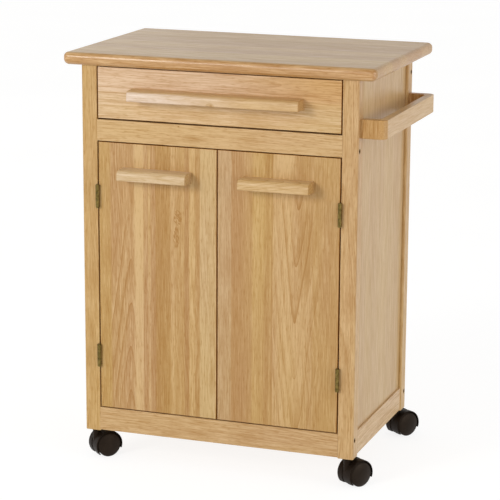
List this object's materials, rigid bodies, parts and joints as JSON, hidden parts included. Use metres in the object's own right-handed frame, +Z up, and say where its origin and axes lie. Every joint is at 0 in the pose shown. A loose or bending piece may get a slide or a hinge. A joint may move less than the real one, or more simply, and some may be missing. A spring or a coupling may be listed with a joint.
{
  "type": "kitchen cart",
  "caption": "Wooden kitchen cart with a rounded worktop, a drawer over a pair of hinged doors, a side towel bar and hooded swivel casters.",
  "frame": {"origin": "on the floor, under the middle of the cart's whole outline", "axes": "+X to the right of someone facing the doors, +Y from the doors to the back, +Z up"},
  "size_m": [0.6546, 0.4458, 0.8308],
  "materials": {
    "worktop_wood": "satin lacquer, grain along the width",
    "frame_wood": "satin lacquer, grain along each board",
    "front_wood": "satin lacquer over edge-glued staves",
    "panel_wood": "satin lacquer",
    "trim_wood": "satin lacquer, lighter tone",
    "plywood": "thin sheet, plain",
    "hinge_brass": "antiqued",
    "dark_steel": "dark oxide",
    "zinc_steel": "zinc plated",
    "catch_plastic": "moulded, matte",
    "caster_plastic": "moulded, satin",
    "wheel_plastic": "moulded, satin"
  },
  "bodies": {
    "cabinet": {"worktop": "worktop_wood", "front_left_post": "frame_wood", "front_right_post": "frame_wood", "back_left_post": "frame_wood", "back_right_post": "frame_wood", "left_side_panel": "panel_wood", "right_side_panel": "panel_wood", "left_side_rail": "frame_wood", "right_side_rail": "frame_wood", "front_mid_rail": "frame_wood", "front_bottom_rail": "frame_wood", "back_top_rail": "frame_wood", "back_bottom_rail": "frame_wood", "back_panel": "plywood", "bottom_panel": "plywood", "shelf": "panel_wood", "shelf_pins": "zinc_steel", "left_top_cleat": "frame_wood", "right_top_cleat": "frame_wood", "left_drawer_runner": "frame_wood", "right_drawer_runner": "frame_wood", "door_catch": "catch_plastic", "towel_bar_front_arm": "trim_wood", "towel_bar_back_arm": "trim_wood", "towel_bar_rail": "trim_wood", "frame_bolts": "dark_steel", "hinge_frame_leaves": "hinge_brass", "hinge_pins": "hinge_brass", "caster_stems": "zinc_steel"},
    "drawer": {"drawer_front": "front_wood", "drawer_left_side": "panel_wood", "drawer_right_side": "panel_wood", "drawer_back": "panel_wood", "drawer_bottom": "plywood", "drawer_pull": "trim_wood"},
    "left_door": {"left_door_panel": "front_wood", "left_door_pull": "trim_wood", "left_door_hinge_leaves": "hinge_brass", "left_door_strike": "zinc_steel"},
    "right_door": {"right_door_panel": "front_wood", "right_door_pull": "trim_wood", "right_door_hinge_leaves": "hinge_brass", "right_door_strike": "zinc_steel"},
    "front_left_caster": {"front_left_caster_hood": "caster_plastic", "front_left_caster_axle": "zinc_steel"},
    "front_left_left_wheel": {"front_left_caster_left_wheel": "wheel_plastic"},
    "front_left_right_wheel": {"front_left_caster_right_wheel": "wheel_plastic"},
    "front_right_caster": {"front_right_caster_hood": "caster_plastic", "front_right_caster_axle": "zinc_steel"},
    "front_right_left_wheel": {"front_right_caster_left_wheel": "wheel_plastic"},
    "front_right_right_wheel": {"front_right_caster_right_wheel": "wheel_plastic"},
    "back_left_caster": {"back_left_caster_hood": "caster_plastic", "back_left_caster_axle": "zinc_steel"},
    "back_left_left_wheel": {"back_left_caster_left_wheel": "wheel_plastic"},
    "back_left_right_wheel": {"back_left_caster_right_wheel": "wheel_plastic"},
    "back_right_caster": {"back_right_caster_hood": "caster_plastic", "back_right_caster_axle": "zinc_steel"},
    "back_right_left_wheel": {"back_right_caster_left_wheel": "wheel_plastic"},
    "back_right_right_wheel": {"back_right_caster_right_wheel": "wheel_plastic"}
  },
  "joints": [
    {"name": "drawer_slide", "type": "slide", "parent": "cabinet", "child": "drawer", "axis": [0, -1, 0], "range_m": [0, 0.28]},
    {"name": "left_door_hinge", "type": "hinge", "parent": "cabinet", "child": "left_door", "pos_m": [-0.2584, -0.1917, 0.3838], "axis": [0, 0, -1], "range_deg": [0, 170]},
    {"name": "right_door_hinge", "type": "hinge", "parent": "cabinet", "child": "right_door", "pos_m": [0.243, -0.1917, 0.3838], "axis": [0, 0, 1], "range_deg": [0, 170]},
    {"name": "front_left_caster_swivel", "type": "hinge", "parent": "cabinet", "child": "front_left_caster", "pos_m": [-0.2757, -0.1714, 0.058], "axis": [0, 0, 1], "continuous": true},
    {"name": "front_left_left_wheel_spin", "type": "hinge", "parent": "front_left_caster", "child": "front_left_left_wheel", "pos_m": [-0.26232, -0.15654, 0.025], "axis": [0.7431, -0.6691, 0], "continuous": true},
    {"name": "front_left_right_wheel_spin", "type": "hinge", "parent": "front_left_caster", "child": "front_left_right_wheel", "pos_m": [-0.26232, -0.15654, 0.025], "axis": [0.7431, -0.6691, 0], "continuous": true},
    {"name": "front_right_caster_swivel", "type": "hinge", "parent": "cabinet", "child": "front_right_caster", "pos_m": [0.2603, -0.1714, 0.058], "axis": [0, 0, 1], "continuous": true},
    {"name": "front_right_left_wheel_spin", "type": "hinge", "parent": "front_right_caster", "child": "front_right_left_wheel", "pos_m": [0.27148, -0.15482, 0.025], "axis": [0.829, -0.5592, 0], "continuous": true},
    {"name": "front_right_right_wheel_spin", "type": "hinge", "parent": "front_right_caster", "child": "front_right_right_wheel", "pos_m": [0.27148, -0.15482, 0.025], "axis": [0.829, -0.5592, 0], "continuous": true},
    {"name": "back_left_caster_swivel", "type": "hinge", "parent": "cabinet", "child": "back_left_caster", "pos_m": [-0.2757, 0.1716, 0.058], "axis": [0, 0, 1], "continuous": true},
    {"name": "back_left_left_wheel_spin", "type": "hinge", "parent": "back_left_caster", "child": "back_left_left_wheel", "pos_m": [-0.26339, 0.18736, 0.025], "axis": [0.788, -0.6157, 0], "continuous": true},
    {"name": "back_left_right_wheel_spin", "type": "hinge", "parent": "back_left_caster", "child": "back_left_right_wheel", "pos_m": [-0.26339, 0.18736, 0.025], "axis": [0.788, -0.6157, 0], "continuous": true},
    {"name": "back_right_caster_swivel", "type": "hinge", "parent": "cabinet", "child": "back_right_caster", "pos_m": [0.2603, 0.1716, 0.058], "axis": [0, 0, 1], "continuous": true},
    {"name": "back_right_left_wheel_spin", "type": "hinge", "parent": "back_right_caster", "child": "back_right_left_wheel", "pos_m": [0.27177, 0.18798, 0.025], "axis": [0.8192, -0.5736, 0], "continuous": true},
    {"name": "back_right_right_wheel_spin", "type": "hinge", "parent": "back_right_caster", "child": "back_right_right_wheel", "pos_m": [0.27177, 0.18798, 0.025], "axis": [0.8192, -0.5736, 0], "continuous": true}
  ]
}
